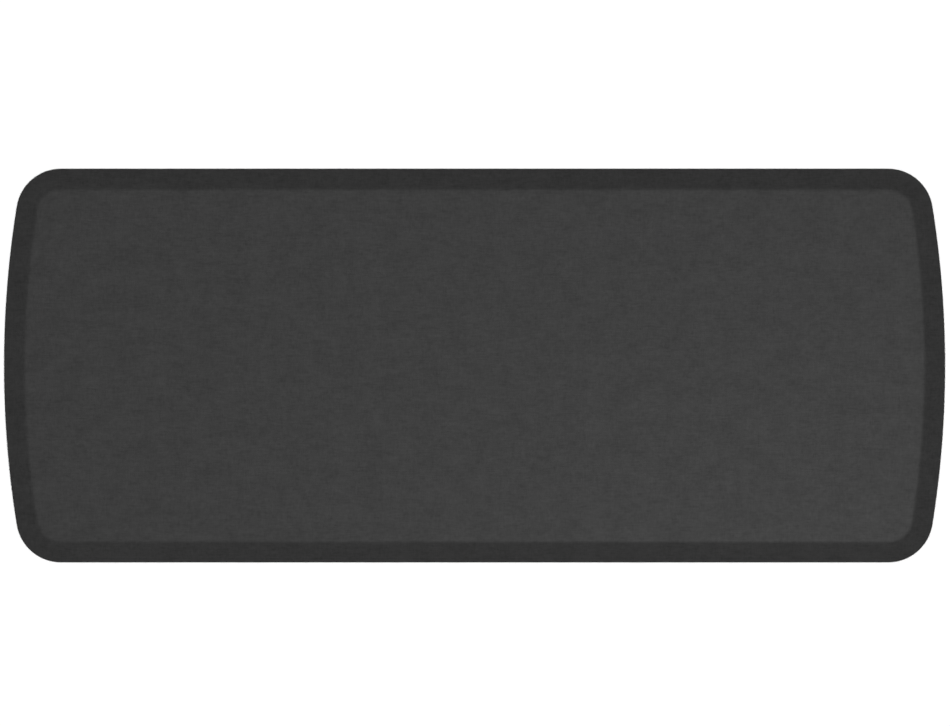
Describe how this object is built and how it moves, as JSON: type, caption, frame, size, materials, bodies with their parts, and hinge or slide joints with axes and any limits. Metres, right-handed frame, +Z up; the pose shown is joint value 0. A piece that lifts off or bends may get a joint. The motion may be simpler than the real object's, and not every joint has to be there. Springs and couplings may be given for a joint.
{
  "type": "anti fatigue mat",
  "caption": "Cushioned standing mat with a bevelled edge, bowed short ends, foam and gel layers inside a woven-look cover, and a ribbed non-slip backing.",
  "frame": {"origin": "on the floor, under the middle of the mat", "axes": "+X along the mat, towards a bowed end; +Y across it, towards a straight side; +Z up, out of the standing surface"},
  "size_m": [1.2192, 0.51, 0.019],
  "materials": {
    "cover_skin": "charcoal polyurethane-coated cloth, embossed and printed like linen, matt",
    "backing_rubber": "black, matt, moulded waffle pattern underneath",
    "scrim_mesh": "white open-weave polyester",
    "firm_foam": "dark grey fine-celled foam",
    "soft_foam": "light grey open-celled foam",
    "gel": "translucent blue soft gel",
    "gel_film": "clear flexible film"
  },
  "bodies": {
    "root": {"bottom_backing": "backing_rubber", "base_scrim": "scrim_mesh", "base_foam": "firm_foam", "gel_lower_film": "gel_film", "gel_pad": "gel", "gel_upper_film": "gel_film", "comfort_foam": "soft_foam", "top_cover": "cover_skin"}
  },
  "joints": []
}
